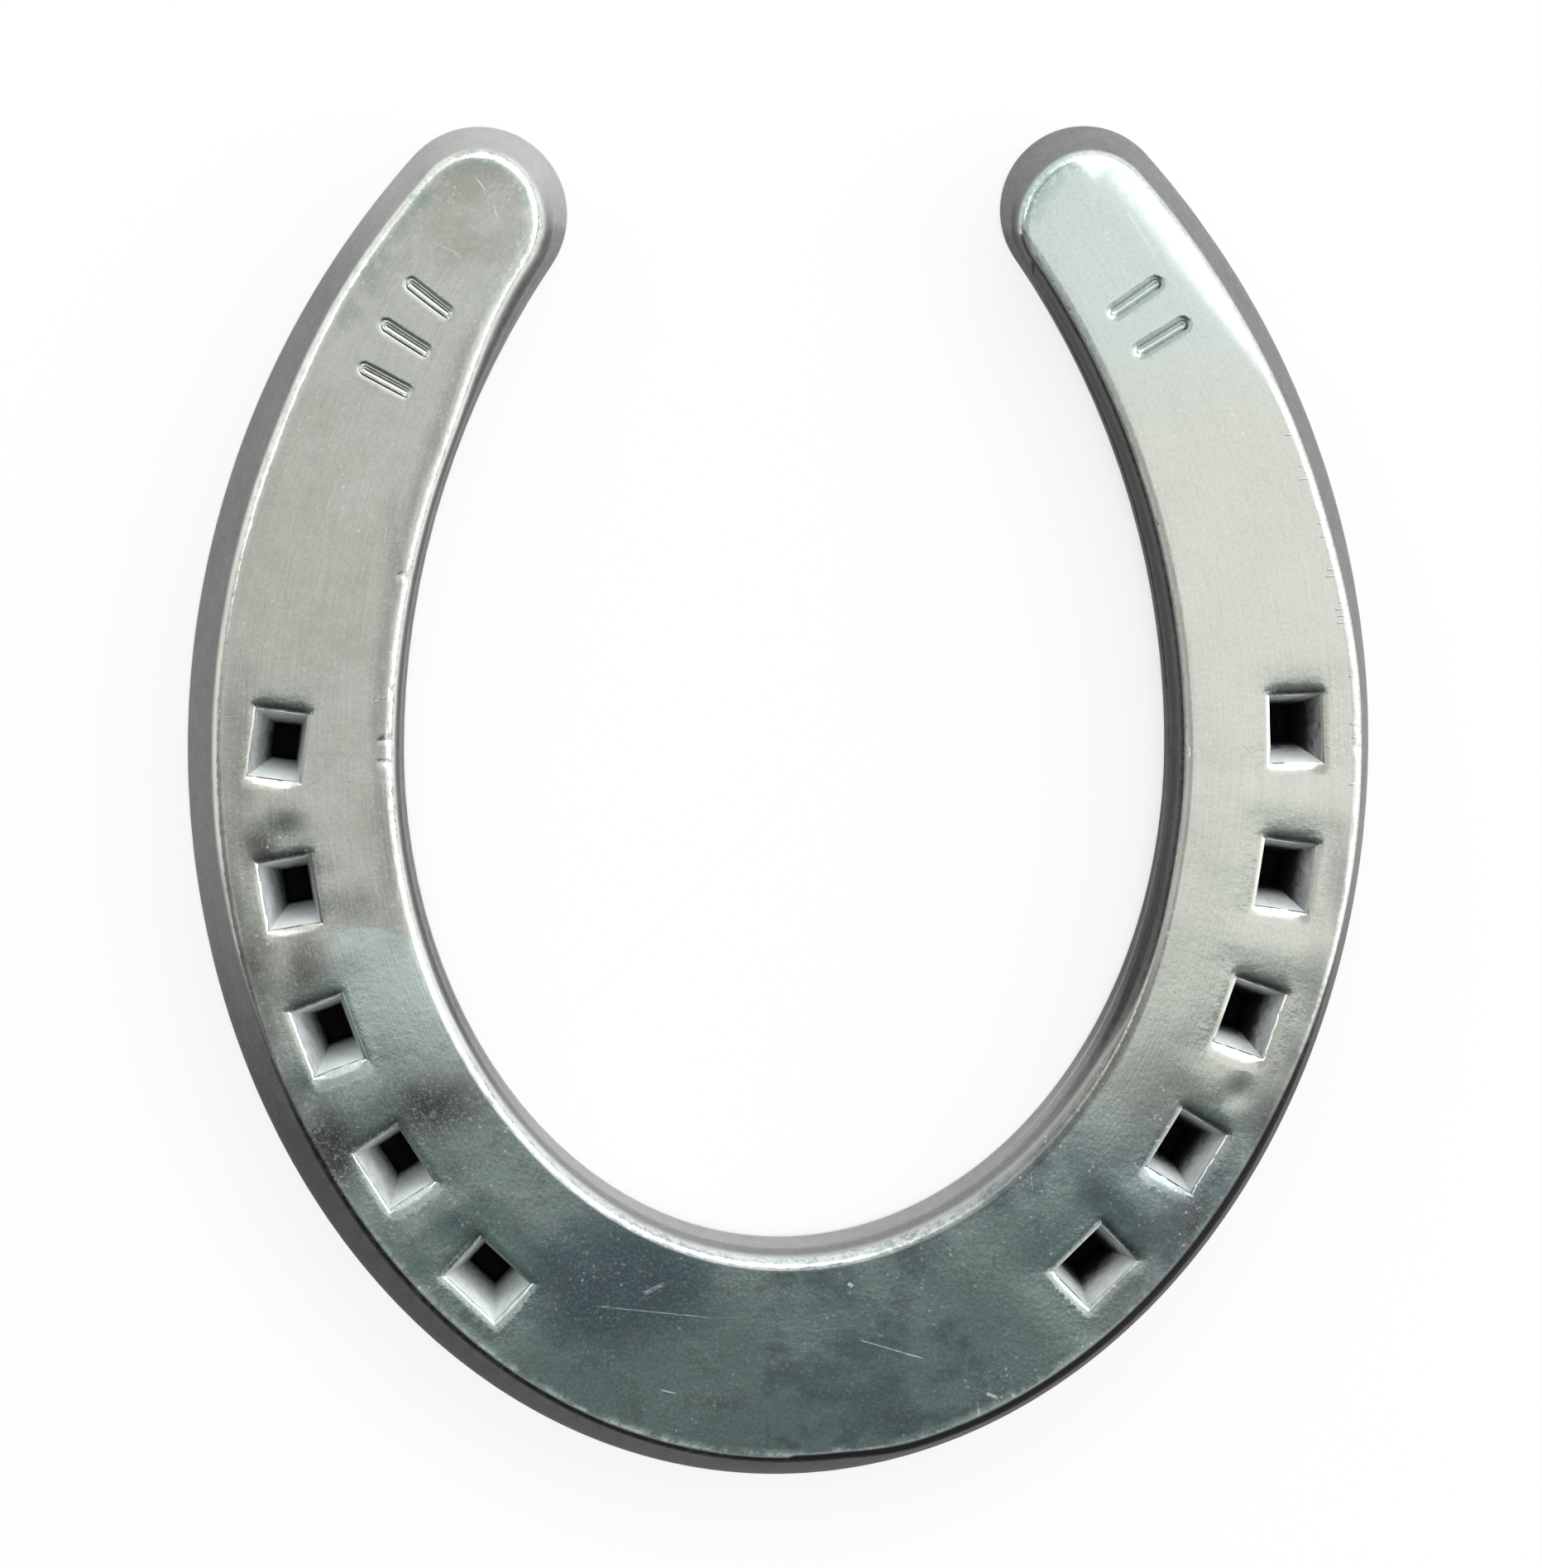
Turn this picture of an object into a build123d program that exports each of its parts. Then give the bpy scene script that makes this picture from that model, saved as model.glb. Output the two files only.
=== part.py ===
"""A light-metal horseshoe with ten nail holes, in millimetres.

The shoe is one forging, so it is one solid. It lies with its hoof side on the XY plane and its
ground face up. The toe points along -Y and the heels along +Y. The origin is at the middle of
the shoe's length and width.

Each edge of the plan is a quarter ellipse round the toe and a circular arc along each branch.
The two meet on the line where the shoe is widest. Each heel is rounded off between the arcs.
"""

import os
from math import asin, atan2, degrees, hypot, sqrt

from build123d import *

# The plan of the hoof side, which is the wider one.
shoe_width = 130.0
shoe_length = 148.4
thickness = 10.0
toe_to_widest = 80.4
toe_web = 26.6
left_branch_web = 23.8
right_branch_web = 22.9
outer_branch_radius = 97.0
inner_branch_radius = 94.0

# How far each wall leans in from the hoof side to the ground face.
outer_draft = 3.0
inner_draft = 1.8

# Rounded edges.
ground_edge_radius = 0.9
hoof_edge_radius = 0.5

# Nail holes: a tapered pocket for the head, above a straight throat for the shank.
nails_per_branch = 5
nail_pitch = 16.1
toe_to_first_nail = 36.5
right_row_setback = 1.0
left_heel_nail_turn = 7.0
nail_line_inset = 9.6
mouth_length = 7.7
mouth_width = 6.0
mouth_flare = 0.4
throat_length = 3.9
throat_width = 2.8
throat_depth = 2.4
nail_lean = 0.8

# Stamped tally bars across each heel, in place of words.
left_bars = 3
right_bars = 2
bar_length = 6.2
bar_width = 1.3
bar_depth = 0.4
bar_pitch = 5.2
bar_inset = 11.4
heel_to_bars = 18.5

widest_y = toe_to_widest - shoe_length / 2
nail_line_sweep = 45  # degrees of branch that the nail line covers, more than a row needs
left, right = -1, 1


class Branch:
    """The construction of one branch, leaned in by outer_lean and inner_lean.

    Points are given as (x, y), with x positive on both branches until side turns it over.
    """

    def __init__(self, side, web, outer_lean=0.0, inner_lean=0.0):
        self.side = side
        self.outer_half = shoe_width / 2 - outer_lean
        self.outer_toe = toe_to_widest - outer_lean
        self.inner_half = shoe_width / 2 - web + inner_lean
        self.inner_toe = toe_to_widest - toe_web + inner_lean
        self.outer_radius = outer_branch_radius - outer_lean
        self.inner_radius = inner_branch_radius + inner_lean
        self.outer_centre = self.outer_half - self.outer_radius
        self.inner_centre = self.inner_half - self.inner_radius
        self.heel_y = shoe_length / 2 - outer_lean

    def point(self, x, y):
        """Turn a point of the right-hand construction over to this branch's side."""
        return (self.side * x, y)

    def heel_circle(self):
        """Return the centre and radius of the circle that rounds off the heel.

        It touches the outer arc from inside, the inner arc from outside, and the line across
        the end of the heel. Its centre's x falls evenly with its radius, as start - slope * r.
        """
        reach = self.heel_y - widest_y
        between = 2 * (self.inner_centre - self.outer_centre)
        squares = self.outer_radius**2 - self.inner_radius**2
        squares += self.inner_centre**2 - self.outer_centre**2
        start = squares / between
        slope = 2 * (self.outer_radius + self.inner_radius) / between
        from_outer = start - self.outer_centre
        half_b = (self.outer_radius - reach) - slope * from_outer
        c = from_outer**2 - self.outer_radius**2 + reach**2
        radius = (-half_b + sqrt(half_b**2 - slope**2 * c)) / slope**2
        return start - slope * radius, self.heel_y - radius, radius

    def touch(self, arc_centre, arc_radius, x, y):
        """Return the point of a branch arc that lies in the direction of (x, y)."""
        scale = arc_radius / hypot(x - arc_centre, y - widest_y)
        return self.point(arc_centre + (x - arc_centre) * scale, widest_y + (y - widest_y) * scale)

    def draw(self):
        """Draw the branch's outline, from the outer toe round the heel to the inner toe."""
        x, y, radius = self.heel_circle()
        outer_touch = self.touch(self.outer_centre, self.outer_radius, x, y)
        inner_touch = self.touch(self.inner_centre, self.inner_radius, x, y)
        toe_side = 270 if self.side == right else 180
        EllipticalCenterArc((0, widest_y), self.outer_half, self.outer_toe, toe_side, arc_size=90)
        EllipticalCenterArc((0, widest_y), self.inner_half, self.inner_toe, toe_side, arc_size=90)
        RadiusArc(self.point(self.outer_half, widest_y), outer_touch, -self.side * self.outer_radius)
        RadiusArc(self.point(self.inner_half, widest_y), inner_touch, -self.side * self.inner_radius)
        ThreePointArc(outer_touch, self.point(x, y + radius), inner_touch)


def nail_places(side, setback, heel_turn):
    """Return the places of one row of nail holes, with local Y pointing into the shoe."""
    half_width = shoe_width / 2 - nail_line_inset
    toe_reach = toe_to_widest - nail_line_inset
    arc_radius = outer_branch_radius - nail_line_inset
    with BuildLine() as nail_line:
        EllipticalCenterArc((0, widest_y), half_width, toe_reach, 270, arc_size=90)
        CenterArc((half_width - arc_radius, widest_y), arc_radius, 0, nail_line_sweep)
    row = nail_line.wires()[0]
    places = []
    for i in range(nails_per_branch):
        from_toe = toe_to_first_nail + setback + i * nail_pitch
        at = row.position_at(from_toe, position_mode=PositionMode.LENGTH)
        along = row.tangent_at(from_toe, position_mode=PositionMode.LENGTH)
        turn = side * degrees(atan2(along.Y, along.X))
        if i == nails_per_branch - 1:
            turn -= heel_turn
        places.append(Location((side * at.X, at.Y), turn))
    return places


with BuildPart() as nail_hole:
    with BuildSketch(Plane.XY.offset(thickness)):
        Rectangle(mouth_length + 2 * mouth_flare, mouth_width + 2 * mouth_flare)
    with BuildSketch(Plane.XY.offset(thickness - mouth_flare)):
        Rectangle(mouth_length, mouth_width)
    loft(ruled=True)
    with BuildSketch(Plane.XY.offset(thickness - mouth_flare)):
        Rectangle(mouth_length, mouth_width)
    with BuildSketch(Plane.XY.offset(throat_depth)):
        with Locations((0, nail_lean)):
            Rectangle(throat_length, throat_width)
    loft(ruled=True)
    with BuildSketch():
        with Locations((0, nail_lean)):
            Rectangle(throat_length, throat_width)
    extrude(amount=throat_depth)

with BuildPart() as shoe:
    for height, outer_lean, inner_lean in (
        (0, 0, 0),
        (thickness, outer_draft, inner_draft),
    ):
        with BuildSketch(Plane.XY.offset(height)):
            with BuildLine():
                Branch(right, right_branch_web, outer_lean, inner_lean).draw()
                Branch(left, left_branch_web, outer_lean, inner_lean).draw()
            make_face()
    loft(ruled=True)
    fillet(shoe.faces().sort_by(Axis.Z)[-1].edges(), ground_edge_radius)
    fillet(shoe.faces().sort_by(Axis.Z)[0].edges(), hoof_edge_radius)
    with Locations(*nail_places(right, right_row_setback, 0)):
        add(nail_hole.part, mode=Mode.SUBTRACT)
    with Locations(*nail_places(left, 0, left_heel_nail_turn)):
        add(nail_hole.part, mode=Mode.SUBTRACT)

    for side, bars in ((left, left_bars), (right, right_bars)):
        radius = outer_branch_radius - bar_inset
        heel_angle = degrees(asin((shoe_length / 2 - heel_to_bars - widest_y) / radius))
        start = heel_angle if side == right else 180 - heel_angle
        row = -side * degrees(bar_pitch / radius) * bars
        with BuildSketch(Plane.XY.offset(thickness)):
            with Locations((side * (shoe_width / 2 - outer_branch_radius), widest_y)):
                with PolarLocations(radius, bars, start, row):
                    SlotOverall(bar_length, bar_width)
        extrude(amount=-bar_depth, mode=Mode.SUBTRACT)

shoe.part.label = "shoe"
os.makedirs("parts", exist_ok=True)
export_step(shoe.part, "parts/shoe.step")
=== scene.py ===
"""The looks of a bare light-metal horseshoe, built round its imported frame.

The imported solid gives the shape. A copy of its mesh is cut finer, and then gets what years of
forging, nailing and handling leave: a slightly wavy face, sunk metal round the nail holes, worn
shoulders, nicks and burrs. One metal finish dresses it, and reads the copy's own attributes.
Lengths are in millimetres until they reach the mesh, which is in metres.
"""

import logging
import math
from collections.abc import Iterator
from dataclasses import dataclass, field
from enum import Enum

import bmesh
import bpy
import numpy as np
from mathutils import Matrix, Vector


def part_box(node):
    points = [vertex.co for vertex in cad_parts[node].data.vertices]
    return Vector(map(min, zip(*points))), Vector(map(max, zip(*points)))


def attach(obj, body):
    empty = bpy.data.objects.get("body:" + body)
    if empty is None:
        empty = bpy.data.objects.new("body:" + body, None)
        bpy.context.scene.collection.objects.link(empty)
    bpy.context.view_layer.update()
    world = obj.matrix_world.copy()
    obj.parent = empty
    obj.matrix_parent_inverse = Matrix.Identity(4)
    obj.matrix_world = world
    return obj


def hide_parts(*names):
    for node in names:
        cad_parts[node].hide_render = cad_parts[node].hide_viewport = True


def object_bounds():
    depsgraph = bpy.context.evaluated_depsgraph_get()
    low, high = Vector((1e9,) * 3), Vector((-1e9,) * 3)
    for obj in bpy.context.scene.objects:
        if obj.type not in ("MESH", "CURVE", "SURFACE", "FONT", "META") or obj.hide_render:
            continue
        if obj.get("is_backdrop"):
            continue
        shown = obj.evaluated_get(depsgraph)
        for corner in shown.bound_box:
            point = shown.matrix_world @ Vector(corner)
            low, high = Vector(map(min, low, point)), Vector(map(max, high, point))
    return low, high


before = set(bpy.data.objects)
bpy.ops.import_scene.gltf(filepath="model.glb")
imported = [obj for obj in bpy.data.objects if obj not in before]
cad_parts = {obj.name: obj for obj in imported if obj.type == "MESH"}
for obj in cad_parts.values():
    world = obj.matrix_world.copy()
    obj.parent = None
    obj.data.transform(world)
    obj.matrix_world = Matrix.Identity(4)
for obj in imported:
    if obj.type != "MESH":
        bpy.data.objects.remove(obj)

LOG = logging.getLogger("horseshoe")
NODE = "shoe"
MM = 0.001  # a millimetre, in metres
METRE = 1000.0  # a metre, in millimetres
IMAGE_WIDTH = 1864
IMAGE_HEIGHT = 1896
FACE_HEIGHT = 10.0  # how high the ground face lies above the hoof side
RIM_HEIGHT = 9.3  # where the rounded rims begin
MOUTH_MARGIN = 0.03  # points closer than this to a nail hole's mouth belong to the hole
FAR = 99.0  # stands in for a distance where there is no edge to measure from

# Dark spots on the ground face, partly soot and handling and partly painted shade for dark reflections:
# X, Y, half width, half height and strength.
SOOT_AND_SHADE_SPOTS = (
    (-57.4, -3.4, 1.7, 2.6, 0.8), (-55.2, -0.6, 2.2, 1.4, 0.6), (-53.6, -5.4, 2.6, 1.2, 0.8),
    (-61.0, -10.0, 1.6, 5.0, 0.5), (-58.3, -16.5, 2.4, 4.0, 0.65), (-52.6, -16.4, 2.0, 3.6, 0.7),
    (-54.6, -31.0, 3.6, 3.2, 0.6), (47.4, -23.8, 0.9, 0.9, 0.5), (49.4, -30.3, 1.4, 1.1, 0.55),
    (55.4, -28.6, 1.3, 3.2, 0.6), (54.0, -36.0, 3.4, 5.5, 0.9), (46.0, -46.0, 5.0, 4.0, 0.7),
    (38.0, -53.0, 5.0, 3.0, 0.35), (57.6, -22.0, 1.2, 5.0, 0.4), (60.0, -8.0, 0.9, 5.0, 0.3),
    (-59.6, 4.0, 1.5, 9.0, 0.35), (-39.0, -32.0, 5.0, 3.0, 0.92), (-50.5, -37.0, 3.4, 5.0, 1.1),
    (-44.0, -46.0, 3.0, 2.0, 0.4), (-57.0, -24.0, 1.3, 5.0, 0.5), (-43.4, -2.0, 1.0, 9.0, 0.4),
    (-47.5, -9.6, 5.0, 1.6, 0.35), (-42.6, 27.8, 0.9, 5.5, 0.3), (-43.2, 9.0, 1.0, 6.0, 0.25),
    (40.6, -32.4, 4.6, 4.4, 0.3),
)


class Side(Enum):
    """A branch of the shoe, with the sign of its X."""

    LEFT = -1
    RIGHT = 1


def linear(red: int, green: int, blue: int) -> tuple[float, float, float, float]:
    """Turn a display colour, 0 to 255 a channel, into a scene-linear one.

    Args:
        red: The red channel.
        green: The green channel.
        blue: The blue channel.

    Returns:
        The linear red, green and blue, and an alpha of 1.
    """
    values = []
    for channel in (red / 255, green / 255, blue / 255):
        low = channel / 12.92
        high = ((channel + 0.055) / 1.055) ** 2.4
        values.append(low if channel <= 0.04045 else high)
    return (*values, 1.0)


def smooth(values: np.ndarray, start: float, end: float) -> np.ndarray:
    """Rise smoothly from 0 at start to 1 at end.

    Args:
        values: The values to map.
        start: Where the rise begins. It may lie above end, and then the curve falls.
        end: Where the rise is complete.

    Returns:
        The mapped values, between 0 and 1.
    """
    t = np.clip((values - start) / (end - start), 0.0, 1.0)
    return t * t * (3 - 2 * t)


@dataclass
class Plan:
    """The shoe's plan: quarter ellipses round the toe, arcs along the branches, round heels."""

    width: float = 130.0
    length: float = 148.4
    toe_to_widest: float = 80.4
    toe_web: float = 26.6
    left_web: float = 23.8
    right_web: float = 22.9
    outer_radius: float = 97.0
    inner_radius: float = 94.0
    outer_draft: float = 3.0
    inner_draft: float = 1.8
    # The circles that round off the ground face at the heels: X, Y and radius.
    left_heel: tuple[float, float, float] = (32.7, 63.87, 7.33)
    right_heel: tuple[float, float, float] = (32.87, 64.26, 6.95)
    # Which way each branch runs at its heel, as steps in X and Y.
    heel_way: tuple[float, float] = (-0.57, 0.82)
    middle_radius: float = 62.0
    mean_web: float = 24.0

    @property
    def widest_y(self) -> float:
        """Return the Y of the line on which the shoe is widest."""
        return self.toe_to_widest - self.length / 2

    def branch_offsets(self, x: np.ndarray, y: np.ndarray, half: float, toe: float,
                       radius: float) -> np.ndarray:
        """Measure how far points lie inside one edge of the plan, near that edge.

        Args:
            x: Distances from the middle line.
            y: The points' Y.
            half: Half the edge's width where it is widest.
            toe: The edge's reach from there to the toe.
            radius: The radius of the edge's branch arc.

        Returns:
            The distances towards the inside of the edge's curve.
        """
        up = y - self.widest_y
        ratio = (x / half) ** 2 + (up / toe) ** 2
        slope = 2 * np.hypot(x / half**2, up / toe**2) + 1e-9
        ellipse = (1 - ratio) / slope
        arc = radius - np.hypot(x - (half - radius), up)
        return np.where(up < 0, ellipse, arc)

    def measure(self, points: np.ndarray) -> dict[str, np.ndarray]:
        """Measure each point against the edges of the ground face.

        Args:
            points: One row of X, Y and Z for each point, in millimetres.

        Returns:
            The arrays outer, inner and heel, which are distances from those edges, and along and
            across, which run lengthwise and crosswise over the branches.
        """
        x, y = points[:, 0], points[:, 1]
        right = x >= 0
        across = np.abs(x)
        outer = self.branch_offsets(across, y, self.width / 2 - self.outer_draft,
                                    self.toe_to_widest - self.outer_draft,
                                    self.outer_radius - self.outer_draft)
        inner = np.zeros_like(outer)
        heel = np.full_like(outer, FAR)
        for mask, web, circle in ((right, self.right_web, self.right_heel),
                                  (~right, self.left_web, self.left_heel)):
            gap = -self.branch_offsets(across, y, self.width / 2 - web + self.inner_draft,
                                       self.toe_to_widest - self.toe_web + self.inner_draft,
                                       self.inner_radius + self.inner_draft)
            inner = np.where(mask, gap, inner)
            cx, cy, radius = circle
            beyond = (y - cy) * self.heel_way[1] + (across - cx) * self.heel_way[0]
            cap = radius - np.hypot(across - cx, y - cy)
            heel = np.where(mask & (beyond > 0), cap, heel)
        up = y - self.widest_y
        turn = np.arctan2(across / (self.width / 2), -up / self.toe_to_widest)
        middle = self.outer_radius - self.mean_web / 2
        climb = np.arcsin(np.clip(up / middle, -1, 1)) * middle
        toe_reach = math.pi / 2 * self.middle_radius
        along = np.where(up < 0, turn * self.middle_radius, toe_reach + climb)
        share = np.clip(outer, 0, None) / np.clip(outer + inner, 1, None)
        return {"outer": outer, "inner": inner, "heel": heel,
                "along": along * np.sign(x + 1e-9), "across": share * self.mean_web}


@dataclass
class Mark:
    """A mark in the ground face, with axes of its own: one along it and one across it."""

    x: float
    y: float
    turn: float

    @property
    def axes(self) -> tuple[float, float]:
        """Return the cosine and the sine of the mark's turn."""
        return math.cos(math.radians(self.turn)), math.sin(math.radians(self.turn))

    @property
    def ways(self) -> tuple[Vector, Vector]:
        """Return the directions along and across the mark."""
        c, s = self.axes
        return Vector((c, s, 0.0)), Vector((-s, c, 0.0))

    def local(self, points: np.ndarray) -> tuple[np.ndarray, np.ndarray]:
        """Return how far points lie along the mark, and how far across it.

        Args:
            points: One row of X, Y and Z for each point, in millimetres.

        Returns:
            The two distances, as arrays.
        """
        c, s = self.axes
        dx, dy = points[:, 0] - self.x, points[:, 1] - self.y
        return dx * c + dy * s, dy * c - dx * s

    def moves(self, along: np.ndarray, across: np.ndarray) -> np.ndarray:
        """Turn moves along and across the mark into moves in X and Y, one row a point."""
        c, s = self.axes
        return np.stack([along * c - across * s, along * s + across * c], axis=1)


@dataclass
class NailHole(Mark):
    """A nail hole's mouth on the ground face, with the metal that the punch rolled in."""

    side: Side
    lip: float
    lip_drop: float
    half_length: float = 3.85
    half_width: float = 3.0
    flare: float = 0.4
    overlap: float = 0.7
    back_roll: float = 0.5
    back_drop: float = 0.07
    rim_roll: float = 0.5
    rim_drop: float = 0.03
    dish: float = 0.03
    dish_reach: float = 2.4
    closing: float = 0.3
    rings: tuple[float, ...] = (0.2, 0.5, 0.9, 1.45, 2.2)

    def local(self, points: np.ndarray) -> tuple[np.ndarray, np.ndarray]:
        """Return how far points lie towards the toe, and how far across the row of holes."""
        along, across = super().local(points)
        return -self.side.value * along, across

    def distance(self, points: np.ndarray) -> np.ndarray:
        """Measure how far points lie outside the mouth.

        Args:
            points: One row of X, Y and Z for each point, in millimetres.

        Returns:
            The distances, which are 0 inside the mouth.
        """
        toeward, across = self.local(points)
        along = np.abs(toeward) - self.half_length - self.flare
        beside = np.abs(across) - self.half_width - self.flare
        return np.hypot(np.clip(along, 0, None), np.clip(beside, 0, None))

    def near(self, points: np.ndarray) -> np.ndarray:
        """Return which points lie where the mesh is cut finer round the mouth."""
        return self.distance(points) < self.rings[-1] + 0.5

    def planes(self) -> Iterator[tuple[Vector, float]]:
        """Yield the planes of the finer cuts: a direction, and how far along it from the middle."""
        for way, half in zip(self.ways, (self.half_length, self.half_width)):
            for ring in self.rings:
                for sign in (-1, 1):
                    yield way, sign * (half + self.flare + ring)

    def draw_in(self, points: np.ndarray) -> np.ndarray:
        """Work out how far the punched rim closes in on the mouth.

        Args:
            points: One row of X, Y and Z for each point, in millimetres.

        Returns:
            The moves in X and Y, one row a point.
        """
        toeward, across = self.local(points)
        away = self.distance(points)
        reach = np.clip(1 - away / self.rings[-1], 0, 1) * (points[:, 2] > RIM_HEIGHT)
        reach *= np.where(away < MOUTH_MARGIN, 1 - (FACE_HEIGHT - points[:, 2]), 1.0)
        along = -self.closing * reach * np.clip(toeward / self.half_length, -1, 1)
        aside = -self.closing * reach * np.clip(across / self.half_width, -1, 1)
        return self.moves(-self.side.value * along, aside)

    def roll(self, points: np.ndarray) -> np.ndarray:
        """Work out how far the punch drew the face down round the mouth.

        Args:
            points: One row of X, Y and Z for each point, in millimetres.

        Returns:
            The depths, deepest at the lip on the toe side.
        """
        toeward, across = self.local(points)
        edge = self.half_length + self.flare
        width = self.half_width + self.flare
        inside = np.clip(1 - (np.abs(across) / width) ** 4, 0, 1)
        lip = np.clip(1 - (toeward - edge) / self.lip, 0, 1) * (toeward > edge - self.overlap)
        behind = np.clip(-toeward - edge, 0, None)
        back = np.exp(-behind / self.back_roll) * (-toeward > edge - self.overlap)
        depth = inside * self.lip_drop * np.clip(lip, 0, 1) ** 2
        depth += smooth(np.abs(across) - width, 0.6, -1.4) * self.back_drop * back
        away = self.distance(points)
        rim = self.rim_drop * np.clip(1 - away / self.rim_roll, 0, 1) ** 2
        return depth + rim + self.dish * np.exp(-((away / self.dish_reach) ** 2))


@dataclass
class Bar(Mark):
    """A tally bar stamped across a heel: a short groove with sloping sides and a round bottom."""

    half_length: float = 3.1
    half_width: float = 0.65
    floor_share: float = 0.5
    extra: float = 0.14
    shoulder: float = 0.35
    shoulder_drop: float = 0.06
    lines: tuple[float, ...] = (0.15, 0.4, 0.55, 0.8, 1.05)

    def far(self, points: np.ndarray) -> np.ndarray:
        """Measure how far points lie from the bar's middle line.

        Args:
            points: One row of X, Y and Z for each point, in millimetres.

        Returns:
            The distances.
        """
        along, across = self.local(points)
        beyond = np.clip(np.abs(along) - (self.half_length - self.half_width), 0, None)
        return np.hypot(beyond, across)

    def near(self, points: np.ndarray) -> np.ndarray:
        """Return which points lie where the mesh is cut finer round the bar."""
        return self.far(points) < self.lines[-1] + 0.3

    def planes(self) -> Iterator[tuple[Vector, float]]:
        """Yield the planes of the finer cuts: a direction, and how far along it from the middle."""
        lengthwise, crosswise = self.ways
        for way, base in ((crosswise, 0.0), (lengthwise, self.half_length - self.half_width)):
            for line in self.lines:
                for sign in (-1, 1):
                    yield way, sign * (base + line)
        yield crosswise, 0.0

    def press(self, points: np.ndarray) -> np.ndarray:
        """Work out how far the stamp pressed the metal below the plain groove.

        Args:
            points: One row of X, Y and Z for each point, in millimetres.

        Returns:
            The depths, deepest along the middle line.
        """
        far = self.far(points)
        bottom = self.extra * np.clip(1 - far / self.half_width, 0, 1)
        beyond = np.clip(1 - (far - self.half_width) / self.shoulder, 0, 1)
        beyond = beyond * (far > self.half_width - 0.05)
        return bottom + self.shoulder_drop * beyond**2

    def narrow(self, points: np.ndarray) -> np.ndarray:
        """Work out how the groove's floor draws in, so that its sides slope.

        Args:
            points: One row of X, Y and Z for each point, in millimetres.

        Returns:
            The moves in X and Y, one row a point.
        """
        along, across = self.local(points)
        floor = (points[:, 2] < FACE_HEIGHT - 0.2) * (points[:, 2] > RIM_HEIGHT)
        deep = (self.far(points) < self.half_width + 0.05) * floor
        move = -across * (1 - self.floor_share) * deep
        beyond = np.clip(np.abs(along) - self.half_length + self.half_width, 0, None)
        pull = -np.sign(along) * beyond * (1 - self.floor_share) * deep
        return self.moves(pull, move)


@dataclass
class Nick(Mark):
    """A dent or notch in an edge, cut down into the metal."""

    depth: float
    reach: float
    stretch: float = 1.0
    sharp: bool = False

    def near(self, points: np.ndarray) -> np.ndarray:
        """Return which points lie where the mesh is cut finer round the nick."""
        away = np.hypot(points[:, 0] - self.x, points[:, 1] - self.y)
        return away < self.reach * self.stretch + 0.7

    def planes(self) -> Iterator[tuple[Vector, float]]:
        """Yield the planes of the finer cuts: a direction, and how far along it from the middle."""
        for way in (Vector((1.0, 0.0, 0.0)), Vector((0.0, 1.0, 0.0))):
            for reach in np.arange(-self.reach, self.reach + 0.01, 0.25):
                yield way, float(reach)

    def cut(self, points: np.ndarray) -> np.ndarray:
        """Work out how far the nick sinks each point.

        Args:
            points: One row of X, Y and Z for each point, in millimetres.

        Returns:
            The depths, which are 0 away from the nick.
        """
        along, across = self.local(points)
        near = np.clip(1 - np.hypot(along / self.stretch, across) / self.reach, 0, 1)
        return self.depth * (near if self.sharp else near * near * (3 - 2 * near))


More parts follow.
